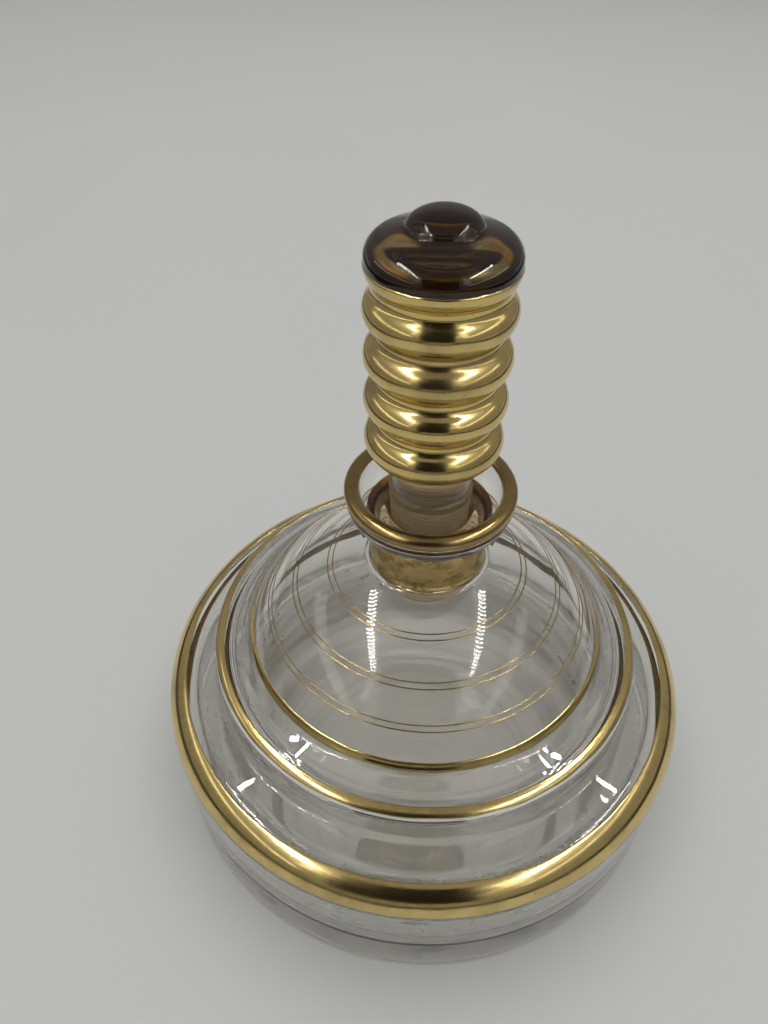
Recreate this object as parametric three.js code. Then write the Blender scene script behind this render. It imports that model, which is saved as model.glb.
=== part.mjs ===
import * as THREE from 'three';

// Scent bottle in clear glass with fired gilding and a ground-glass stopper.
// Millimetres, +Z up. The foot stands on z = 0 and everything is turned about the Z axis.
// Outlines are lists of [radius, height] points; all angles are degrees up from straight outwards.

// Facets round the axis. One count for every part, so neighbours share their facets.
const FACETS = 36;

// Gilding is under a micron of gold; it is drawn as a film thick enough to be a solid.
const FILM_GAP = 0.05;
const FILM_THICKNESS = 0.15;

// Base tier
const BASE_RADIUS = 52.8;
const HEEL_RADIUS = 1.5;
const BASE_SHOULDER_RADIUS = 5.5;
const BASE_SHOULDER_Z = 22.3;
const BASE_GILT_FROM = 9;
const BASE_GILT_TO = 77;

// Middle tier
const LOWER_SHELF_RISE = 0.5;
const MIDDLE_RADIUS = 42.1;
const MIDDLE_FOOT_RADIUS = 1.0;
const MIDDLE_SHOULDER_RADIUS = 2.1;
const MIDDLE_SHOULDER_Z = 34.3;
const MIDDLE_GILT_FROM = 35;

// Dome: part of a sphere, with a gold line at its foot and three pairs of fine gold lines
const DOME_RADIUS = 40.3;
const DOME_CENTRE_Z = 17.6;
const DOME_FOOT = 30.5;
const DOME_TOP = 73;
const FOOT_LINE_FROM = 30.9;
const FOOT_LINE_TO = 33.1;
const LOWER_PAIR = 41.6;
const MIDDLE_PAIR = 51.7;
const UPPER_PAIR = 63.3;
const PAIR_SPACING = 1.56;
const FINE_LINE_WIDTH = 0.4;

// Neck and cup
const NECK_RADIUS = 10.4;
const NECK_FILLET_RADIUS = 1.9;
const NECK_FILLET_Z = 57.9;
const NECK_GILT_FROM = 225;
const NECK_STRAIGHT_TOP_Z = 64.3;
const CUP_CENTRE_R = 7.8;
const CUP_CENTRE_Z = 71.6;
const CUP_OUTER_RADIUS = 7.0;
const CUP_INNER_RADIUS = 4.5;
const CUP_FOOT = -68.2;
const NECK_GILT_TO = -52;
const RIM_GILT_FROM = -3;
const RIM_RADIUS = (CUP_OUTER_RADIUS - CUP_INNER_RADIUS) / 2;
const RIM_CENTRE_R = CUP_CENTRE_R + CUP_INNER_RADIUS + RIM_RADIUS;
const RIM_CENTRE_Z = CUP_CENTRE_Z + 0.3;

// Ground joint: the plug and the bore share one taper
const PLUG_END_Z = 47;
const PLUG_END_RADIUS = 6.05;
const PLUG_TOP_Z = 72.5;
const PLUG_TOP_RADIUS = 7.15;
const PLUG_CHAMFER = 0.8;
const GROUND_JOINT_GAP = 0.08;
const BORE_TOP_Z = 66.2;
const BORE_END_Z = 55.7;
const BORE_MOUTH_RADIUS = 0.9;
const BORE_END_ROUNDING = 1.8;

// Inside of the bottle
const FLOOR_THICKNESS = 4.5;
const INNER_BASE_RADIUS = 50.0;
const INNER_HEEL_RADIUS = 9.0;
const INNER_BASE_SHOULDER_RADIUS = 4.0;
const INNER_BASE_ROOF_Z = 25.1;
const INNER_MIDDLE_RADIUS = 38.7;
const INNER_MIDDLE_FOOT_RADIUS = 2.3;
const INNER_MIDDLE_SHOULDER_RADIUS = 1.7;
const INNER_MIDDLE_SHOULDER_Z = 31.7;
const INNER_DOME_RADIUS = 37.3;
const INNER_DOME_FOOT = 27.6;
const INNER_DOME_TOP = 77.8;

// Stopper above the plug. Ribs and disc edge are convex arcs; smaller concave arcs roll between them.
const SHANK_RADIUS = 6.5;
const SHANK_FOOT_Z = 73.3;
const SHANK_TOP_Z = 78.3;
const SHANK_FILLET = 0.9;
const RIB_COUNT = 4;
const RIB_PITCH = 7.5;
const FIRST_RIB_Z = 83.45;
const RIB_CREST_RADIUS = 11.15;
const RIB_RADIUS = 3.0;
const RIB_START = -72;
const GROOVE_RADIUS = 1.6;
const DISC_RADIUS = 10.95;
const DISC_UNDER_RADIUS = 4.0;
const DISC_UNDER_Z = 112.8;
const DISC_GROOVE_RADIUS = 1.8;
const DISC_TOP_RADIUS = 2.9;
const DISC_TOP_Z = 113.4;
const DISC_TOP_END = 70;
const KNOB_FILLET_RADIUS = 0.9;
const KNOB_FILLET_R = 6.05;
const KNOB_FILLET_Z = 118.17;
const KNOB_FILLET_FROM = 180 + DISC_TOP_END;
const KNOB_FILLET_TO = 190;
const KNOB_RADIUS = 5.3;
const KNOB_CENTRE_Z = 117.4;
const KNOB_HEIGHT = 2.6;
const KNOB_START = 13.5;

const CLEAR_GLASS = { color: 0xe6e9e6, roughness: 0.05, metalness: 0 };
const GILDING = { color: 0xb8923e, roughness: 0.2, metalness: 1 };

// ---- outline helpers ----

function arc(centreR, centreZ, radius, from, to, steps) {
  const points = [];
  for (let i = 0; i <= steps; i += 1) {
    const angle = THREE.MathUtils.degToRad(from + ((to - from) * i) / steps);
    points.push([centreR + radius * Math.cos(angle), centreZ + radius * Math.sin(angle)]);
  }
  return points;
}

// Stretches end to end, with a point shared by two neighbours kept once.
function join(...stretches) {
  const points = [];
  for (const [r, z] of stretches.flat()) {
    const last = points[points.length - 1];
    if (!last || Math.hypot(r - last[0], z - last[1]) > 1e-6) {
      points.push([r, z]);
    }
  }
  return points;
}

// The outline moved outwards by a distance, square to each stretch and mitred at each point.
function moveOut(outline, distance) {
  const normals = outline.slice(1).map(([r, z], i) => {
    const length = Math.hypot(r - outline[i][0], z - outline[i][1]);
    return [(z - outline[i][1]) / length, (outline[i][0] - r) / length];
  });
  return outline.map(([r, z], i) => {
    const before = normals[Math.max(i - 1, 0)];
    const after = normals[Math.min(i, normals.length - 1)];
    const scale = distance / (1 + before[0] * after[0] + before[1] * after[1]);
    return [r + (before[0] + after[0]) * scale, z + (before[1] + after[1]) * scale];
  });
}

// Closed outline of a gilding film lying on a stretch of glass.
function filmOn(outline) {
  const outside = moveOut(outline, FILM_GAP + FILM_THICKNESS);
  const inside = moveOut(outline, FILM_GAP).reverse();
  return join(outside, inside, [outside[0]]);
}

function turned(name, outline, look) {
  const points = outline.map(([r, z]) => new THREE.Vector2(r, z));
  const geometry = new THREE.LatheGeometry(points, FACETS);
  geometry.rotateX(Math.PI / 2);
  const mesh = new THREE.Mesh(geometry, new THREE.MeshStandardMaterial(look));
  mesh.name = name;
  return mesh;
}

// ---- shared stretches of the bottle ----

function plugRadius(z) {
  const rise = (z - PLUG_END_Z) / (PLUG_TOP_Z - PLUG_END_Z);
  return PLUG_END_RADIUS + (PLUG_TOP_RADIUS - PLUG_END_RADIUS) * rise;
}

function baseShoulder(from, to, steps) {
  const centreR = BASE_RADIUS - BASE_SHOULDER_RADIUS;
  return arc(centreR, BASE_SHOULDER_Z, BASE_SHOULDER_RADIUS, from, to, steps);
}

function middleShoulder(from, to, steps) {
  const centreR = MIDDLE_RADIUS - MIDDLE_SHOULDER_RADIUS;
  return arc(centreR, MIDDLE_SHOULDER_Z, MIDDLE_SHOULDER_RADIUS, from, to, steps);
}

function dome(from, to, steps) {
  return arc(0, DOME_CENTRE_Z, DOME_RADIUS, from, to, steps);
}

// Fine line on the dome; side is -1 for the lower line of a pair and 1 for the upper one.
function fineLine(pair, side) {
  const centre = pair + (side * PAIR_SPACING) / 2;
  return dome(centre - FINE_LINE_WIDTH / 2, centre + FINE_LINE_WIDTH / 2, 1);
}

function gildedBaseShoulder() {
  return baseShoulder(BASE_GILT_FROM, BASE_GILT_TO, 5);
}

function gildedMiddleShoulder() {
  return middleShoulder(MIDDLE_GILT_FROM, 90, 3);
}

function gildedDomeFoot() {
  return dome(FOOT_LINE_FROM, FOOT_LINE_TO, 1);
}

function neckFillet(from, to, steps) {
  const centreR = NECK_RADIUS + NECK_FILLET_RADIUS;
  return arc(centreR, NECK_FILLET_Z, NECK_FILLET_RADIUS, from, to, steps);
}

function cupOutside(from, to, steps) {
  return arc(CUP_CENTRE_R, CUP_CENTRE_Z, CUP_OUTER_RADIUS, from, to, steps);
}

function gildedNeck() {
  return join(
    neckFillet(NECK_GILT_FROM, 180, 2),
    [[NECK_RADIUS, NECK_STRAIGHT_TOP_Z]],
    cupOutside(CUP_FOOT, NECK_GILT_TO, 1),
  );
}

function gildedRim() {
  return join(
    cupOutside(RIM_GILT_FROM, 0, 1),
    arc(RIM_CENTRE_R, RIM_CENTRE_Z, RIM_RADIUS, 0, 180, 6),
  );
}

// ---- bottle ----

function bottleOutside() {
  const lowerShelfZ = BASE_SHOULDER_Z + BASE_SHOULDER_RADIUS + LOWER_SHELF_RISE;
  const middleFootR = MIDDLE_RADIUS + MIDDLE_FOOT_RADIUS;
  const middleFootZ = lowerShelfZ + MIDDLE_FOOT_RADIUS;
  return join(
    [[0, 0]],
    arc(BASE_RADIUS - HEEL_RADIUS, HEEL_RADIUS, HEEL_RADIUS, -90, 0, 2),
    baseShoulder(0, BASE_GILT_FROM, 1),
    gildedBaseShoulder(),
    baseShoulder(BASE_GILT_TO, 90, 1),
    arc(middleFootR, middleFootZ, MIDDLE_FOOT_RADIUS, 270, 180, 2),
    middleShoulder(0, MIDDLE_GILT_FROM, 1),
    gildedMiddleShoulder(),
    dome(DOME_FOOT, FOOT_LINE_FROM, 1),
    gildedDomeFoot(),
    dome(37, 37, 1),
    fineLine(LOWER_PAIR, -1),
    fineLine(LOWER_PAIR, 1),
    dome(47, 47, 1),
    fineLine(MIDDLE_PAIR, -1),
    fineLine(MIDDLE_PAIR, 1),
    dome(57.5, 57.5, 1),
    fineLine(UPPER_PAIR, -1),
    fineLine(UPPER_PAIR, 1),
    dome(68.5, DOME_TOP, 1),
    neckFillet(253, NECK_GILT_FROM, 1),
    gildedNeck(),
    cupOutside(NECK_GILT_TO, RIM_GILT_FROM, 2),
    gildedRim(),
  );
}

function bottleInside() {
  const boreTopR = plugRadius(BORE_TOP_Z) + GROUND_JOINT_GAP;
  const boreEndR = plugRadius(BORE_END_Z) + GROUND_JOINT_GAP;
  const middleFootR = INNER_MIDDLE_RADIUS + INNER_MIDDLE_FOOT_RADIUS;
  const middleFootZ = INNER_BASE_ROOF_Z + INNER_MIDDLE_FOOT_RADIUS;
  const middleShoulderR = INNER_MIDDLE_RADIUS - INNER_MIDDLE_SHOULDER_RADIUS;
  const baseShoulderR = INNER_BASE_RADIUS - INNER_BASE_SHOULDER_RADIUS;
  const baseShoulderZ = INNER_BASE_ROOF_Z - INNER_BASE_SHOULDER_RADIUS;
  const heelR = INNER_BASE_RADIUS - INNER_HEEL_RADIUS;
  const heelZ = FLOOR_THICKNESS + INNER_HEEL_RADIUS;
  return join(
    arc(CUP_CENTRE_R, CUP_CENTRE_Z, CUP_INNER_RADIUS, 0, -80, 4),
    arc(boreTopR + BORE_MOUTH_RADIUS, BORE_TOP_Z, BORE_MOUTH_RADIUS, 100, 180, 2),
    arc(boreEndR + BORE_END_ROUNDING, BORE_END_Z, BORE_END_ROUNDING, 180, 255, 2),
    arc(0, DOME_CENTRE_Z, INNER_DOME_RADIUS, INNER_DOME_TOP, INNER_DOME_FOOT, 6),
    arc(middleShoulderR, INNER_MIDDLE_SHOULDER_Z, INNER_MIDDLE_SHOULDER_RADIUS, 90, 0, 2),
    arc(middleFootR, middleFootZ, INNER_MIDDLE_FOOT_RADIUS, 180, 270, 2),
    arc(baseShoulderR, baseShoulderZ, INNER_BASE_SHOULDER_RADIUS, 90, 0, 3),
    arc(heelR, heelZ, INNER_HEEL_RADIUS, 0, -90, 4),
    [[0, FLOOR_THICKNESS]],
  );
}

// ---- stopper ----

// Convex arcs of the stopper's side, lowest first: the ribs, then the underside of the disc.
function beads() {
  const list = [];
  for (let i = 0; i < RIB_COUNT; i += 1) {
    list.push({
      r: RIB_CREST_RADIUS - RIB_RADIUS,
      z: FIRST_RIB_Z + i * RIB_PITCH,
      radius: RIB_RADIUS,
      grooveRadius: i < RIB_COUNT - 1 ? GROOVE_RADIUS : DISC_GROOVE_RADIUS,
    });
  }
  list.push({
    r: DISC_RADIUS - DISC_UNDER_RADIUS,
    z: DISC_UNDER_Z,
    radius: DISC_UNDER_RADIUS,
  });
  return list;
}

// Centre of the concave arc that touches two convex arcs from outside.
function grooveCentre(lower, upper) {
  const apart = Math.hypot(upper.r - lower.r, upper.z - lower.z);
  const toLower = lower.radius + lower.grooveRadius;
  const toUpper = upper.radius + lower.grooveRadius;
  const along = (toLower ** 2 - toUpper ** 2 + apart ** 2) / (2 * apart);
  const out = Math.sqrt(toLower ** 2 - along ** 2);
  const [dr, dz] = [(upper.r - lower.r) / apart, (upper.z - lower.z) / apart];
  return { r: lower.r + dr * along + dz * out, z: lower.z + dz * along - dr * out };
}

function bearing(from, to) {
  return THREE.MathUtils.radToDeg(Math.atan2(to.z - from.z, to.r - from.r));
}

// Ribs, grooves and the underside of the disc, which are gilded all over.
function gildedStopper() {
  const list = beads();
  const outline = [];
  let from = RIB_START;
  for (let i = 0; i < list.length - 1; i += 1) {
    const [lower, upper] = [list[i], list[i + 1]];
    const groove = grooveCentre(lower, upper);
    const grooveFrom = bearing(groove, lower) + 360;
    const grooveTo = bearing(groove, upper);
    outline.push(arc(lower.r, lower.z, lower.radius, from, bearing(lower, groove), 4));
    outline.push(arc(groove.r, groove.z, lower.grooveRadius, grooveFrom, grooveTo, 3));
    from = bearing(upper, groove);
  }
  const disc = list[list.length - 1];
  outline.push(arc(disc.r, disc.z, disc.radius, from, 0, 3));
  return join(...outline);
}

function knob(from, to, steps) {
  return arc(0, 0, 1, from, to, steps).map(([r, z]) => [
    r * KNOB_RADIUS,
    KNOB_CENTRE_Z + z * KNOB_HEIGHT,
  ]);
}

function stopperOutline() {
  const filletR = SHANK_RADIUS + SHANK_FILLET;
  const discTopR = DISC_RADIUS - DISC_TOP_RADIUS;
  return join(
    [[0, PLUG_END_Z]],
    [[PLUG_END_RADIUS - PLUG_CHAMFER, PLUG_END_Z]],
    [[plugRadius(PLUG_END_Z + PLUG_CHAMFER), PLUG_END_Z + PLUG_CHAMFER]],
    [[PLUG_TOP_RADIUS, PLUG_TOP_Z]],
    [[SHANK_RADIUS, SHANK_FOOT_Z]],
    arc(filletR, SHANK_TOP_Z, SHANK_FILLET, 180, 110, 2),
    gildedStopper(),
    arc(discTopR, DISC_TOP_Z, DISC_TOP_RADIUS, 0, DISC_TOP_END, 5),
    arc(KNOB_FILLET_R, KNOB_FILLET_Z, KNOB_FILLET_RADIUS, KNOB_FILLET_FROM, KNOB_FILLET_TO, 2),
    knob(KNOB_START, 90, 6),
  );
}

// ---- the whole object ----

const object = new THREE.Group();
object.name = 'scent_bottle';
object.add(
  turned('bottle_body', join(bottleOutside(), bottleInside()), CLEAR_GLASS),
  turned('base_shoulder_gilding', filmOn(gildedBaseShoulder()), GILDING),
  turned('middle_shoulder_gilding', filmOn(gildedMiddleShoulder()), GILDING),
  turned('dome_foot_line', filmOn(gildedDomeFoot()), GILDING),
  turned('lower_pair_outer_line', filmOn(fineLine(LOWER_PAIR, -1)), GILDING),
  turned('lower_pair_inner_line', filmOn(fineLine(LOWER_PAIR, 1)), GILDING),
  turned('middle_pair_outer_line', filmOn(fineLine(MIDDLE_PAIR, -1)), GILDING),
  turned('middle_pair_inner_line', filmOn(fineLine(MIDDLE_PAIR, 1)), GILDING),
  turned('upper_pair_outer_line', filmOn(fineLine(UPPER_PAIR, -1)), GILDING),
  turned('upper_pair_inner_line', filmOn(fineLine(UPPER_PAIR, 1)), GILDING),
  turned('neck_gilding', filmOn(gildedNeck()), GILDING),
  turned('rim_gilding', filmOn(gildedRim()), GILDING),
  turned('stopper', stopperOutline(), CLEAR_GLASS),
  turned('stopper_gilding', filmOn(gildedStopper()), GILDING),
);

export default object;
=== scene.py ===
import math
import random

import bpy
import numpy as np
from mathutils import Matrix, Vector


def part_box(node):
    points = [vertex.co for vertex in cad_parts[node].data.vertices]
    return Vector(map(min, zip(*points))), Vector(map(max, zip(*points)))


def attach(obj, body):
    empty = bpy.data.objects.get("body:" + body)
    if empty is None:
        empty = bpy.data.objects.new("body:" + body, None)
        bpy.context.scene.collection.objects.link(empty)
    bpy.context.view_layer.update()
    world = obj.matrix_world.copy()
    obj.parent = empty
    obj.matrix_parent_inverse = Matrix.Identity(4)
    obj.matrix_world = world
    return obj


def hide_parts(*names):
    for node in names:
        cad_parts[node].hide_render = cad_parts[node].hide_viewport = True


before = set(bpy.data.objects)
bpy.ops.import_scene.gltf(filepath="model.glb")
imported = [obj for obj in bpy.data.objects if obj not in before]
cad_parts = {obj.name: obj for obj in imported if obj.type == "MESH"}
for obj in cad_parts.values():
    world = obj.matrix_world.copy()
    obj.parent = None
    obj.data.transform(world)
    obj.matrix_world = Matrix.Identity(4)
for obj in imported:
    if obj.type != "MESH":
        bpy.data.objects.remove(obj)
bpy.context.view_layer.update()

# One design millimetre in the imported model's metres, from the width of its foot tier.
BASE_RADIUS = 52.8
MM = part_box("bottle_body")[1].x / BASE_RADIUS

AROUND = 256            # facets round the axis
EDGE_SUPPORT = 0.25     # mm kept flat beside each rounding
FILM_OUT = 0.10         # how far gilding stands off the glass, mm
FILM_IN = -0.04         # how far its back bites into the glass, so no air gap shows through it, mm
FILM_EDGE = 0.03        # how far its edges stand off the glass, mm
EDGE_WAVES = 9          # sine waves added up in the wander of one edge
SAME_POINT = 1e-6       # mm between two outline points that count as one

CLEAR, GROUND, FOOT, THROAT = 0, 1, 2, 3    # material places on the glass pieces
FRONT, BACK = 0, 1      # material places on the gilding


# ---------- outlines: lists of (radius, height) in mm ----------

def arc(centre_r, centre_z, radius, start, end, steps):
    """Points on a circular arc; angles in degrees up from straight outwards."""
    angles = np.radians(np.linspace(start, end, steps + 1))
    return [(centre_r + radius * math.cos(a), centre_z + radius * math.sin(a)) for a in angles]


def straight(start, end, steps=1):
    """A straight stretch with support points near its ends, so smooth shading stays flat."""
    (r0, z0), (r1, z1) = start, end
    length = math.hypot(r1 - r0, z1 - z0)
    if length < 3 * EDGE_SUPPORT:
        return [start, end]
    t = EDGE_SUPPORT / length
    marks = [0.0, t] + [t + (1 - 2 * t) * i / steps for i in range(1, steps + 1)] + [1.0]
    return [(r0 + (r1 - r0) * m, z0 + (z1 - z0) * m) for m in marks]


def join(*stretches):
    """Outlines end to end, with straight stretches put in where two ends are apart."""
    points = []
    for stretch in stretches:
        stretch = list(stretch)
        if points and math.dist(points[-1], stretch[0]) > SAME_POINT:
            points += straight(points[-1], stretch[0])[1:-1]
        for p in stretch:
            if not points or math.dist(points[-1], p) > SAME_POINT:
                points.append(p)
    return points


# ---------- meshes ----------

def new_object(name, vertices, faces, material_places, materials):
    mesh = bpy.data.meshes.new(name)
    mesh.from_pydata([tuple(v) for v in vertices], [], faces)
    for material in materials:
        mesh.materials.append(material)
    mesh.polygons.foreach_set("material_index", material_places)
    mesh.polygons.foreach_set("use_smooth", [True] * len(faces))
    mesh.update()
    piece = bpy.data.objects.new(name, mesh)
    bpy.context.scene.collection.objects.link(piece)
    return piece


def turned(name, sections, materials, blister=None):
    """A closed body of revolution. sections is a list of (outline, material place), from the axis, round
    the outside and back to the axis. blister(angle, r, z) moves the surface outwards by so many mm."""
    points, places = [], []
    for outline, place in sections:
        for p in outline:
            if not points or math.dist(points[-1], p) > SAME_POINT:
                if points:
                    places.append(place)
                points.append(p)
    vertices, rows = [], []
    for r, z in points:
        if r < SAME_POINT:
            rows.append([len(vertices)] * AROUND)
            vertices.append(Vector((0, 0, z * MM)))
            continue
        rows.append(list(range(len(vertices), len(vertices) + AROUND)))
        for j in range(AROUND):
            a = 2 * math.pi * j / AROUND
            reach = r + (blister(a, r, z) if blister else 0.0)
            vertices.append(Vector((reach * math.cos(a), reach * math.sin(a), z)) * MM)
    faces, face_places = [], []
    for i in range(len(points) - 1):
        low, high = rows[i], rows[i + 1]
        for j in range(AROUND):
            k = (j + 1) % AROUND
            face = [low[j], low[k], high[k], high[j]]
            faces.append(tuple(dict.fromkeys(face)))
            face_places.append(places[i])
    return new_object(name, vertices, faces, face_places, materials)


def edge_waves(waves):
    """A handful of sine waves round the axis: (count, phase, weight)."""
    return [
        (waves.randint(2, 40), waves.uniform(0, 2 * math.pi), waves.uniform(0.3, 1))
        for _ in range(EDGE_WAVES)
    ]


def wander(wave_set, angle):
    """Between 0 and 1, slowly changing round the axis."""
    swing = sum(weight * math.sin(count * angle + phase) for count, phase, weight in wave_set)
    return 0.5 + 0.5 * swing / sum(weight for _, _, weight in wave_set)


def gilded(name, outline, materials, steps, ragged_high, ragged_low, seed):
    """A film of gold lying on a stretch of glass. Its two edges wander by so many mm, as if brushed."""
    line = np.array(outline)
    tangent = np.gradient(line, axis=0)
    tangent /= np.linalg.norm(tangent, axis=1)[:, None]
    normal = np.column_stack([tangent[:, 1], -tangent[:, 0]])
    along = np.concatenate([[0], np.cumsum(np.linalg.norm(np.diff(line, axis=0), axis=1))])
    waves = random.Random(seed)
    low_waves = edge_waves(waves)
    high_waves = edge_waves(waves)
    shares = np.linspace(0, 1, steps + 1)
    vertices, faces, places = [], [], []
    loop = 2 * (steps + 1)
    for j in range(AROUND):
        a = 2 * math.pi * j / AROUND
        start = ragged_low * wander(low_waves, a)
        end = along[-1] - ragged_high * wander(high_waves, a)
        s = start + (end - start) * shares
        r, z = np.interp(s, along, line[:, 0]), np.interp(s, along, line[:, 1])
        nr, nz = np.interp(s, along, normal[:, 0]), np.interp(s, along, normal[:, 1])
        out = np.full(steps + 1, FILM_OUT)
        out[0] = out[-1] = FILM_EDGE
        outside = [(r[i] + nr[i] * out[i], z[i] + nz[i] * out[i]) for i in range(steps + 1)]
        inside = [(r[i] + nr[i] * FILM_IN, z[i] + nz[i] * FILM_IN) for i in reversed(range(steps + 1))]
        for rr, zz in outside + inside:
            vertices.append(Vector((rr * math.cos(a), rr * math.sin(a), zz)) * MM)
    for j in range(AROUND):
        k = (j + 1) % AROUND
        for i in range(loop):
            n = (i + 1) % loop
            faces.append((j * loop + i, k * loop + i, k * loop + n, j * loop + n))
            places.append(BACK if steps + 1 <= i < loop - 1 else FRONT)
    return new_object(name, vertices, faces, places, materials)


# ---------- materials ----------

GLASS_IOR = 1.5
PINHOLE = (0.10, 0.07, 0.03)    # the glass seen through a pinhole in gold


def shader(name, **sockets):
    material = bpy.data.materials.new(name)
    material.use_nodes = True
    tree = material.node_tree
    principled = tree.nodes["Principled BSDF"]
    for socket, value in sockets.items():
        principled.inputs[socket.replace("_", " ")].default_value = value
    return material, tree, principled


def noise(tree, scale, detail=4.0, rough=0.5, stretch=(1, 1, 1), offset=(0, 0, 0)):
    """Noise in object space; scale is in features per metre, stretch squeezes it along an axis."""
    coords = tree.nodes.new("ShaderNodeTexCoord")
    mapping = tree.nodes.new("ShaderNodeMapping")
    mapping.inputs["Scale"].default_value = stretch
    mapping.inputs["Location"].default_value = offset
    texture = tree.nodes.new("ShaderNodeTexNoise")
    texture.inputs["Scale"].default_value = scale
    texture.inputs["Detail"].default_value = detail
    texture.inputs["Roughness"].default_value = rough
    tree.links.new(coords.outputs["Object"], mapping.inputs["Vector"])
    tree.links.new(mapping.outputs["Vector"], texture.inputs["Vector"])
    return texture.outputs["Fac"]


def ramp(tree, source, *stops):
    """stops are (position, colour or number)."""
    made = tree.nodes.new("ShaderNodeValToRGB")
    elements = made.color_ramp.elements
    while len(elements) < len(stops):
        elements.new(0.5)
    for element, (position, value) in zip(elements, stops):
        element.position = position
        element.color = (*value, 1) if isinstance(value, tuple) else (value, value, value, 1)
    tree.links.new(source, made.inputs["Fac"])
    return made.outputs["Color"]


def bump(tree, principled, source, depth, strength=1.0):
    made = tree.nodes.new("ShaderNodeBump")
    made.inputs["Strength"].default_value = strength
    made.inputs["Distance"].default_value = depth
    tree.links.new(source, made.inputs["Height"])
    tree.links.new(made.outputs["Normal"], principled.inputs["Normal"])


def mix_colour(tree, factor, a, b):
    made = tree.nodes.new("ShaderNodeMix")
    made.data_type = "RGBA"
    tree.links.new(factor, made.inputs["Factor"])
    for socket, value in (("A", a), ("B", b)):
        place = [s for s in made.inputs if s.name == socket and s.type == "RGBA"][0]
        if isinstance(value, tuple):
            place.default_value = (*value, 1)
        else:
            tree.links.new(value, place)
    return [s for s in made.outputs if s.type == "RGBA"][0]


def clear_glass(name, tint):
    """Clear glass with the faint waves of a hand-finished mould and a trace of handling on its gloss."""
    material, tree, principled = shader(name, Transmission_Weight=1.0, IOR=GLASS_IOR, Roughness=0.0)
    deeper = tuple(0.985 * c for c in tint)
    cloud = noise(tree, 90, 5)
    tree.links.new(ramp(tree, cloud, (0.3, tint), (0.75, deeper)), principled.inputs["Base Color"])
    smears = noise(tree, 160, 6, 0.6, stretch=(1, 1, 0.5))
    tree.links.new(ramp(tree, smears, (0.5, 0.0), (0.8, 0.02)), principled.inputs["Roughness"])
    bump(tree, principled, noise(tree, 70, 2, 0.4, stretch=(1, 1, 2.2)), 0.00006)
    return material


def ground_glass(name, pale, dark, clear):
    """Ground glass: a fine frosted skin with turning marks from the grinding, worn clear in patches.
    clear is the share of light that goes through; the rest is scattered back."""
    material, tree, principled = shader(name, Transmission_Weight=clear, IOR=GLASS_IOR)
    turning = noise(tree, 420, 4, 0.6, stretch=(0.3, 0.3, 4))
    rough = ramp(tree, turning, (0.34, 0.10), (0.46, 0.34), (0.7, 0.50))
    tree.links.new(rough, principled.inputs["Roughness"])
    tree.links.new(ramp(tree, turning, (0.3, pale), (0.7, dark)), principled.inputs["Base Color"])
    bump(tree, principled, noise(tree, 2600, 3, 0.6), 0.00002, 0.7)
    return material


def gold(name, tone, dull, rub, rough, grain=0.5, patch_scale=95):
    """Fired bright gold: a mirror film with brush streaks, duller rubbed patches and fine pinholes.
    rub is the height of the noise above which the gold is rubbed dull."""
    material, tree, principled = shader(name, Metallic=1.0)
    patches = noise(tree, patch_scale, 6, 0.62, offset=(3, 1, 7))
    streaks = noise(tree, 900, 3, 0.5, stretch=(0.25, 0.25, 3))
    worn = ramp(tree, patches, (rub, 0.0), (rub + 0.22, 1.0))
    pinholes = ramp(tree, noise(tree, 2400, 2, 0.5), (0.68, 0.0), (0.74, 0.8))
    base = mix_colour(tree, worn, tone, dull)
    tree.links.new(mix_colour(tree, pinholes, base, PINHOLE), principled.inputs["Base Color"])
    tree.links.new(ramp(tree, patches, (0.35, rough[0]), (0.75, rough[1])), principled.inputs["Roughness"])
    bump(tree, principled, streaks, 0.000015, grain)
    return material


def gold_back(name):
    """The back of the gilding as it shows through the glass: a copper brown mirror, stained in patches."""
    material, tree, principled = shader(name, Metallic=1.0)
    patches = noise(tree, 260, 5, 0.6)
    copper, umber, olive = (0.40, 0.17, 0.015), (0.21, 0.13, 0.04), (0.25, 0.21, 0.10)
    stain = ramp(tree, patches, (0.3, copper), (0.5, umber), (0.7, olive))
    tree.links.new(stain, principled.inputs["Base Color"])
    tree.links.new(ramp(tree, patches, (0.3, 0.12), (0.7, 0.3)), principled.inputs["Roughness"])
    bump(tree, principled, patches, 0.00002, 0.4)
    return material


GLASS = clear_glass("bottle_clear_glass", tint=(0.975, 0.967, 0.94))
# Amber tint of the throat glass: painted reflection of the brown back of the neck gilding.
THROAT_GLASS_PAINTED_GOLD_REFLECTION = clear_glass("throat_glass_painted_gold_reflection", tint=(0.70, 0.43, 0.17))
STOPPER_GLASS = clear_glass("stopper_clear_glass", tint=(0.97, 0.935, 0.86))
# Brownish colour of the frosted plug: painted reflection of the gilded neck round it.
PLUG_FROST_PAINTED_GOLD_REFLECTION = ground_glass("ground_plug_painted_gold_reflection", pale=(0.93, 0.79, 0.56), dark=(0.84, 0.68, 0.43), clear=0.6)
# Copper brown colour of the frosted bore: painted reflection of the back of the neck gilding round it.
BORE_FROST_PAINTED_GOLD_REFLECTION = ground_glass("ground_bore_painted_gold_reflection", pale=(0.62, 0.36, 0.14), dark=(0.40, 0.20, 0.07), clear=0.35)
SCUFFED = ground_glass("scuffed_foot", pale=(0.99, 0.985, 0.97), dark=(0.97, 0.96, 0.94), clear=0.72)
GOLD = gold(
    "bright_gold", tone=(0.78, 0.60, 0.25), dull=(0.52, 0.40, 0.17), rub=0.46, rough=(0.11, 0.26), grain=0.9
)
# A darker copy of the bright gold for the fine lines: painted shade, standing in for the dark open front
# they reflect.
LINE_GOLD_PAINTED_SHADE = gold(
    "line_gold", tone=(0.60, 0.46, 0.20), dull=(0.36, 0.26, 0.11), rub=0.42, rough=(0.10, 0.25), grain=0.9
)
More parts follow.
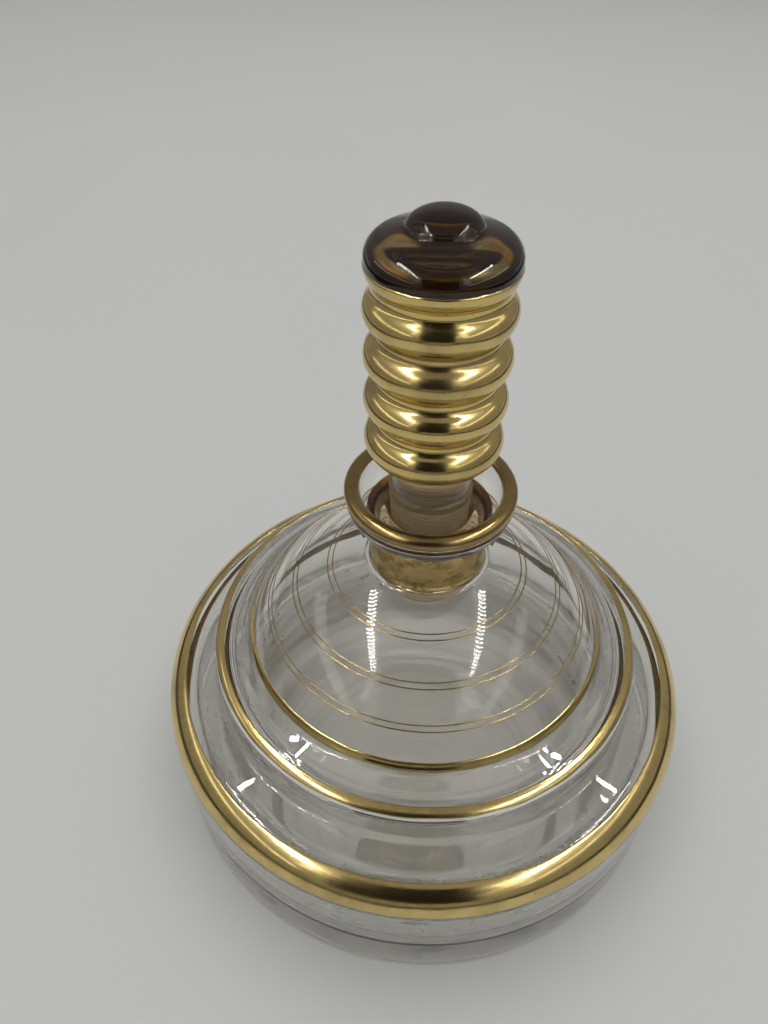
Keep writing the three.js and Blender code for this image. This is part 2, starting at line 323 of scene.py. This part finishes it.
# A darker copy of the bright gold for the rim: painted shade.
RIM_GOLD_PAINTED_SHADE = gold("rim_gold", tone=(0.42, 0.30, 0.12), dull=(0.26, 0.18, 0.08), rub=0.44, rough=(0.16, 0.3))
RIB_GOLD = gold("rib_gold", tone=(0.74, 0.57, 0.22), dull=(0.46, 0.35, 0.16), rub=0.44, rough=(0.13, 0.28))
NECK_GOLD = gold(
    "neck_gold", tone=(0.72, 0.54, 0.23), dull=(0.26, 0.17, 0.07), rub=0.44, rough=(0.16, 0.42),
    grain=1.0, patch_scale=330,
)
GOLD_BACK = gold_back("gilding_back")


# ---------- the bottle ----------

# Arcs are (centre radius, centre height, radius), in mm.
CONTACT_RADIUS = 40.0   # the ring from here outwards is scuffed by tables
HEEL = (51.3, 1.5, 1.5)
WALL_TOP = 22.3         # where the base tier's wall starts to round over
NECK_RADIUS = 10.4
NECK_LOW = 57.9
NECK_TOP = 64.3
SHELL_HOLLOW = 37.3     # radius of the dome's inner face
FLOOR_TOP = 4.5         # height of the bottle's floor inside
DOME = (0.0, 17.6, 40.3)
CUP = (7.8, 71.6)       # centre of the cup's outer and inner arcs
RIM = (13.55, 71.9, 1.25)
CUP_OUTER_RADIUS = 7.0
CUP_INNER_RADIUS = 4.5
PLUG_END = 47.0         # height of the plug's tip

BLISTER_ANGLE = 0.02    # radians to the right of the front
BLISTER_Z = 21.0
BLISTER_RISE = 0.22
BLISTER_WIDTH = 1.5     # mm across to where its rise has dropped to a third
BLISTER_HEIGHT = 0.55   # the same, upwards


def plug_radius(z):
    """The ground joint's taper."""
    return 6.05 + 1.10 * (z - PLUG_END) / 25.5


def dome(start, end, steps):
    return arc(*DOME, start, end, steps)


def base_shoulder(start, end, steps):
    return arc(BASE_RADIUS - 5.5, WALL_TOP, 5.5, start, end, steps)


def middle_shoulder(start, end, steps):
    return arc(40.0, 34.3, 2.1, start, end, steps)


def neck_outline(start):
    """The fillet at the neck's foot, from the angle start, and the straight neck above it."""
    fillet = arc(NECK_RADIUS + 1.9, NECK_LOW, 1.9, start, 180, 10)
    return join(fillet, straight((NECK_RADIUS, NECK_LOW), (NECK_RADIUS, NECK_TOP), 4))


def cup_outside(start, end, steps):
    return arc(*CUP, CUP_OUTER_RADIUS, start, end, steps)


def cup_foot_fillet():
    """The little round where the cup's underside runs into the neck."""
    return [(NECK_RADIUS, NECK_TOP), (10.42, 64.75), (10.55, 65.05), (10.75, 65.22)]


def blister(angle, r, z):
    """A shallow lens-shaped blister low on the front of the base tier."""
    if r < 51 or not 18 <= z <= 24:
        return 0.0
    from_front = angle + math.pi / 2 - BLISTER_ANGLE
    across = math.atan2(math.sin(from_front), math.cos(from_front)) * r
    up = z - BLISTER_Z
    return BLISTER_RISE * math.exp(-((across / BLISTER_WIDTH) ** 2) - ((up / BLISTER_HEIGHT) ** 2))


def bottle_sections():
    sole = straight((0, 0), (CONTACT_RADIUS, 0), 12)
    contact = straight((CONTACT_RADIUS, 0), (HEEL[0], 0), 4)
    outside = join(
        arc(*HEEL, -90, 0, 10),
        straight((BASE_RADIUS, HEEL[1]), (BASE_RADIUS, 18.0)),
        straight((BASE_RADIUS, 18.0), (BASE_RADIUS, WALL_TOP), 24),
        base_shoulder(0, 90, 20),
        arc(43.1, 29.3, 1.0, 270, 180, 8),
        middle_shoulder(0, 72, 14),
        [(40.4, 36.35), (39.6, 36.55)],
        straight((39.0, 36.75), (35.6, 37.75), 2),
        [(35.05, 38.0), (34.78, 38.3)],
        dome(32, 72.3, 28),
        neck_outline(252),
        cup_foot_fillet(),
        cup_outside(-62, 0, 14),
        arc(*RIM, 0, 180, 18),
        arc(*CUP, CUP_INNER_RADIUS, 0, -50, 9),
    )
    bore_top, bore_end = plug_radius(66.2) + 0.08, plug_radius(55.7) + 0.08
    throat = join(arc(*CUP, CUP_INNER_RADIUS, -50, -80, 5), arc(bore_top + 0.9, 66.2, 0.9, 100, 180, 6))
    bore = straight((bore_top, 66.2), (bore_end, 55.7), 3)
    inside = join(
        arc(bore_end + 1.8, 55.7, 1.8, 180, 255, 8),
        arc(DOME[0], DOME[1], SHELL_HOLLOW, 77.8, 29.5, 30),
        [(32.75, 35.3), (33.4, 34.75)],
        straight((34.0, 34.5), (36.2, 33.7)),
        arc(36.8, 31.8, 1.9, 80, 0, 10),
        arc(41.0, 27.4, 2.3, 180, 270, 8),
        arc(46.0, 21.1, 4.0, 90, 0, 12),
        arc(41.0, 13.5, 9.0, 0, -90, 18),
        [(0, FLOOR_TOP)],
    )
    return [
        (sole, CLEAR),
        (contact, FOOT),
        (outside, CLEAR),
        (throat, THROAT),
        (bore, GROUND),
        (inside, CLEAR),
    ]


# ---------- the stopper ----------

RIB_CREST = 11.15
RIB_RADIUS = 3.0
FIRST_RIB_Z = 83.45
RIB_PITCH = 7.5
RIBS = 4
RIB_START = -72         # degrees; where the lowest rib begins, just outside the shank's fillet
GROOVE_RADIUS = 1.6
DISC_RADIUS = 10.95
DISC_UNDER = (DISC_RADIUS - 4.0, 112.8, 4.0)
DISC_TOP = (DISC_RADIUS - 2.9, 113.4, 2.9)
DISC_GROOVE_RADIUS = 1.8
KNOB_FILLET = (6.05, 118.17, 0.9)
KNOB_RADIUS = 5.3
KNOB_Z = 117.4
KNOB_HEIGHT = 2.6
PLUG_TOP = (7.12, 71.9)
SHANK_RADIUS = 6.5
SHANK_TOP = 78.3


def groove_centre(lower, upper, radius):
    """Centre of the concave arc that touches two convex arcs, given as (centre radius, height, radius)."""
    apart = math.hypot(upper[0] - lower[0], upper[1] - lower[1])
    to_lower, to_upper = lower[2] + radius, upper[2] + radius
    along = (to_lower ** 2 - to_upper ** 2 + apart ** 2) / (2 * apart)
    out = math.sqrt(to_lower ** 2 - along ** 2)
    dr, dz = (upper[0] - lower[0]) / apart, (upper[1] - lower[1]) / apart
    return lower[0] + dr * along + dz * out, lower[1] + dz * along - dr * out


def bearing(start, end):
    return math.degrees(math.atan2(end[1] - start[1], end[0] - start[0]))


def head_outline():
    """Ribs, grooves and the underside of the disc, which carry the gold."""
    beads = [(RIB_CREST - RIB_RADIUS, FIRST_RIB_Z + i * RIB_PITCH, RIB_RADIUS) for i in range(RIBS)]
    beads.append(DISC_UNDER)
    stretches, start = [], RIB_START
    for i, (lower, upper) in enumerate(zip(beads, beads[1:])):
        radius = DISC_GROOVE_RADIUS if i == RIBS - 1 else GROOVE_RADIUS
        groove = groove_centre(lower, upper, radius)
        stretches.append(arc(*lower, start, bearing(lower, groove), 18))
        stretches.append(arc(*groove, radius, bearing(groove, lower) + 360, bearing(groove, upper), 12))
        start = bearing(upper, groove)
    stretches.append(arc(*DISC_UNDER, start, 0, 12))
    return join(*stretches)


def knob():
    """Part of an ellipse, from the fillet at its foot to the top of the stopper."""
    return [(r * KNOB_RADIUS, KNOB_Z + z * KNOB_HEIGHT) for r, z in arc(0, 0, 1, 13.5, 90, 22)]


def stopper_sections():
    plug_low = (plug_radius(47.8), 47.8)
    shank_low = (SHANK_RADIUS, 73.6)
    plug = join(
        [(0, PLUG_END)],
        [(5.25, PLUG_END), (5.75, 47.15), (6.02, 47.5), plug_low],
        straight(plug_low, PLUG_TOP, 8),
    )
    shank = join(
        [PLUG_TOP, (7.15, 72.5), (7.12, 72.75), (6.9, 73.05), (6.6, 73.25), shank_low],
        straight(shank_low, (SHANK_RADIUS, SHANK_TOP), 2),
        arc(SHANK_RADIUS + 0.9, SHANK_TOP, 0.9, 180, 110, 6),
    )
    head = join(
        head_outline(),
        arc(*DISC_TOP, 0, 70, 20),
        arc(*KNOB_FILLET, 250, 190, 10),
        knob(),
    )
    return [(plug, GROUND), (shank, CLEAR), (join(shank[-1:], head), CLEAR)]


def finish_piece(piece, body, slot, *nodes):
    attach(piece, body)
    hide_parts(*nodes)


bottle = turned("bottle_glass", bottle_sections(), [GLASS, BORE_FROST_PAINTED_GOLD_REFLECTION, SCUFFED, THROAT_GLASS_PAINTED_GOLD_REFLECTION], blister)
finish_piece(bottle, "bottle", "bottle_glass", "bottle_body")

stopper = turned("stopper_glass", stopper_sections(), [STOPPER_GLASS, PLUG_FROST_PAINTED_GOLD_REFLECTION])
finish_piece(stopper, "stopper", "stopper_glass", "stopper")

# Three pairs of fine lines on the dome; angles are degrees up from the dome's equator.
PAIR_MIDDLES = {"lower_pair": 41.6, "middle_pair": 51.7, "upper_pair": 63.3}
PAIR_SPACING = 1.56
LINE_WIDTH = 0.4
for number, (pair, middle) in enumerate(PAIR_MIDDLES.items()):
    for inner, side in enumerate(("outer", "inner")):
        angle = middle + (inner - 0.5) * PAIR_SPACING
        film = gilded(
            f"{pair}_{side}_gold_line",
            dome(angle - LINE_WIDTH / 2, angle + LINE_WIDTH / 2, 4),
            [LINE_GOLD_PAINTED_SHADE, GOLD_BACK], 4, 0.05, 0.03, 20 + 2 * number + inner,
        )
        finish_piece(film, "bottle", "gilding", f"{pair}_{side}_line")

SHOULDER_BAND = join(middle_shoulder(35, 72, 12), [(40.4, 36.35), (39.8, 36.5)])
NECK_SLEEVE = join(neck_outline(225), cup_foot_fillet(), cup_outside(-62, -52, 4))
RIM_BAND = join(cup_outside(-3, 0, 3), arc(*RIM, 0, 180, 24))

# Per node: outline, gold, steps across, wander of the upper edge and of the lower edge in mm.
BANDS = {
    "base_shoulder_gilding": (base_shoulder(9, 77, 30), GOLD, 24, 0.35, 0.35),
    "middle_shoulder_gilding": (SHOULDER_BAND, GOLD, 12, 0.25, 0.5),
    "dome_foot_line": (join([(34.78, 38.3)], dome(32, 33.3, 4)), GOLD, 6, 0.15, 0.15),
    "neck_gilding": (NECK_SLEEVE, NECK_GOLD, 30, 0.1, 0.7),
    "rim_gilding": (RIM_BAND, RIM_GOLD_PAINTED_SHADE, 30, 0.2, 0.2),
}
for number, (name, (outline, material, steps, ragged_high, ragged_low)) in enumerate(BANDS.items()):
    piece_name = name.replace("gilding", "gold").replace("line", "gold_line")
    film = gilded(piece_name, outline, [material, GOLD_BACK], steps, ragged_high, ragged_low, 40 + number)
    finish_piece(film, "bottle", "gilding", name)

film = gilded("stopper_gold", head_outline(), [RIB_GOLD, GOLD_BACK], 150, 0.2, 0.2, 60)
finish_piece(film, "stopper", "gilding", "stopper_gilding")


# ---------- floor, light and camera ----------

def paper(name):
    material, tree, principled = shader(name, Roughness=0.7)
    tree.links.new(
        ramp(tree, noise(tree, 3, 4), (0.3, (0.66, 0.67, 0.665)), (0.7, (0.69, 0.70, 0.695))),
        principled.inputs["Base Color"],
    )
    bump(tree, principled, noise(tree, 900, 3), 0.00005, 0.3)
    return material


def glow(name, colour, strength):
    material = bpy.data.materials.new(name)
    material.use_nodes = True
    tree = material.node_tree
    tree.nodes.clear()
    emission = tree.nodes.new("ShaderNodeEmission")
    emission.inputs["Color"].default_value = (*colour, 1)
    emission.inputs["Strength"].default_value = strength
    output = tree.nodes.new("ShaderNodeOutputMaterial")
    tree.links.new(emission.outputs["Emission"], output.inputs["Surface"])
    return material


def quads(name, corners, material):
    """Flat four-cornered panels, in metres, that light or shade the object."""
    vertices = [v for panel in corners for v in panel]
    faces = [tuple(range(4 * i, 4 * i + 4)) for i in range(len(corners))]
    panel = new_object(name, vertices, faces, [0] * len(faces), [material])
    return panel


FLOOR_Z = -0.0002       # a hair under the foot, so the glass and the paper stay two surfaces
floor_corners = [(x, y, FLOOR_Z) for x, y in ((-3, -3), (3, -3), (3, 3), (-3, 3))]
quads("floor", [floor_corners], paper("pale_paper"))


TENT_WHITE = (1.0, 0.99, 0.96)
TENT_DARK = (1.0, 0.9, 0.8)


def tent_part(name, corners, colour, strength):
    """A glowing panel of a light tent. It shows only in reflections and through glass."""
    panel = quads(name, corners, glow(name + "_glow", colour, strength))
    panel.visible_camera = False
    panel.visible_diffuse = False
    panel.visible_shadow = False
    return panel


def upright(x, y0, y1, z0, z1):
    return [(x, y0, z0), (x, y1, z0), (x, y1, z1), (x, y0, z1)]


def facing(y, x0, x1, z0, z1):
    return [(x0, y, z0), (x1, y, z0), (x1, y, z1), (x0, y, z1)]


# Two rows of lamps along the top edges, left and right, seen as herringbone streaks in the glass.
LAMP_Z = 0.40
LAMP_ROWS = {
    "lamps_left": ((-0.184, 0.085), (-0.228, -0.335)),
    "lamps_right": ((0.211, 0.12), (0.254, -0.32)),
}
LAMPS = 26
LAMP_LENGTH = 0.018
LAMP_WIDTH = 0.005
LAMP_SLANT = 0.006
LAMP_GAP = 0.12         # share of a bar's length left free at the middle of a pair
LAMP_COLOUR = (1.0, 0.98, 0.93)
LAMP_STRENGTH = 60


def lamp_pair(x, y):
    """Two slanted bars side by side, leaning opposite ways like the arms of a V."""
    half = LAMP_WIDTH / 2
    bars = []
    for side in (-1, 1):
        far = x + side * LAMP_LENGTH
        near = x + side * LAMP_GAP * LAMP_LENGTH
        bars.append([
            (near, y - half, LAMP_Z),
            (near, y + half, LAMP_Z),
            (far, y + half + LAMP_SLANT, LAMP_Z),
            (far, y - half + LAMP_SLANT, LAMP_Z),
        ])
    return bars


for name, ((x0, y0), (x1, y1)) in LAMP_ROWS.items():
    panels = []
    for i in range(LAMPS):
        t = (i + 0.5) / LAMPS
        panels += lamp_pair(x0 + (x1 - x0) * t, y0 + (y1 - y0) * t)
    tent_part(name, panels, LAMP_COLOUR, LAMP_STRENGTH)

# Two lit strips along the side walls, which draw the long streaks on the gilded shoulders.
STRIP_STRENGTH = 1.9
tent_part("strip_left", [upright(-0.218, -0.30, 0.08, 0.155, 0.175)], LAMP_COLOUR, STRIP_STRENGTH)
tent_part("strip_right", [upright(0.238, -0.34, 0.07, 0.19, 0.212)], LAMP_COLOUR, STRIP_STRENGTH)

# Side walls, brightest under the lamps, with a dark hem below them.
WALL_STEPS = 8
WALL_LOW = 0.06
WALL_HEIGHT = 0.33
HEM_STRENGTH = 0.05
for side, x in (("left", -0.225), ("right", 0.245)):
    for i in range(WALL_STEPS):
        low = WALL_LOW + WALL_HEIGHT * i / WALL_STEPS
        high = WALL_LOW + WALL_HEIGHT * (i + 1) / WALL_STEPS
        strength = 0.24 + 0.55 * ((i + 0.5) / WALL_STEPS) ** 2.5
        tent_part(f"wall_{side}_{i}", [upright(x, -0.55, 0.10, low, high)], TENT_WHITE, strength)
    tent_part(f"hem_{side}", [upright(x, -0.7, 0.4, 0.0, 0.045)], TENT_DARK, HEM_STRENGTH)

# The dark open front, behind the camera, between two lit flaps.
FRONT_Y = -0.26
FLAP_STRENGTH = 1.3
opening = [(x, FRONT_Y, z) for x, z in ((-0.112, 0.085), (0.098, 0.085), (0.142, 0.455), (-0.166, 0.455))]
tent_part("tent_opening", [opening], TENT_DARK, 0.012)
tent_part("flap_left", [facing(FRONT_Y, -0.203, -0.165, 0.21, 0.39)], TENT_WHITE, FLAP_STRENGTH)
tent_part("flap_right", [facing(FRONT_Y, 0.156, 0.223, 0.21, 0.40)], TENT_WHITE, FLAP_STRENGTH)
tent_part("hem_front", [facing(-0.34, -0.3, 0.3, 0.0, 0.04)], TENT_DARK, HEM_STRENGTH)

# A soft ceiling straight above, aimed down.
ceiling_data = bpy.data.lights.new("ceiling_light", "AREA")
ceiling_data.shape = "RECTANGLE"
ceiling_data.size = ceiling_data.size_y = 1.5
ceiling_data.energy = 9.0
ceiling_data.color = (1.0, 0.995, 0.98)
ceiling = bpy.data.objects.new("ceiling_light", ceiling_data)
ceiling.location = (0.0, 0.2, 1.1)
ceiling.rotation_euler = Vector((0, 0, -1)).to_track_quat("-Z", "Y").to_euler()
ceiling.visible_glossy = False
bpy.context.scene.collection.objects.link(ceiling)

world = bpy.data.worlds.new("tent")
bpy.context.scene.world = world
world.use_nodes = True
sky = world.node_tree.nodes["Background"]
sky.inputs["Color"].default_value = (1.0, 0.975, 0.94, 1)
sky.inputs["Strength"].default_value = 0.27

SENSOR_WIDTH = 36.0
CAMERA_DOWN = 43.34     # degrees below level
CAMERA_TURN = 4.62      # degrees to the left
camera_data = bpy.data.cameras.new("camera")
camera_data.sensor_width = SENSOR_WIDTH
camera_data.lens = SENSOR_WIDTH * 769.0 / 1024.0
camera_data.clip_start = 0.005
camera_data.clip_end = 20.0
camera = bpy.data.objects.new("camera", camera_data)
camera.location = (0.0, -0.0992, 0.1593)
camera.rotation_euler = (math.radians(90 - CAMERA_DOWN), 0.0, math.radians(CAMERA_TURN))
bpy.context.scene.collection.objects.link(camera)

scene = bpy.context.scene
scene.camera = camera
scene.view_settings.view_transform = "Standard"
scene.cycles.use_denoising = True
scene.cycles.max_bounces = 24
scene.cycles.transmission_bounces = 24
scene.cycles.glossy_bounces = 8
scene.cycles.sample_clamp_indirect = 6.0
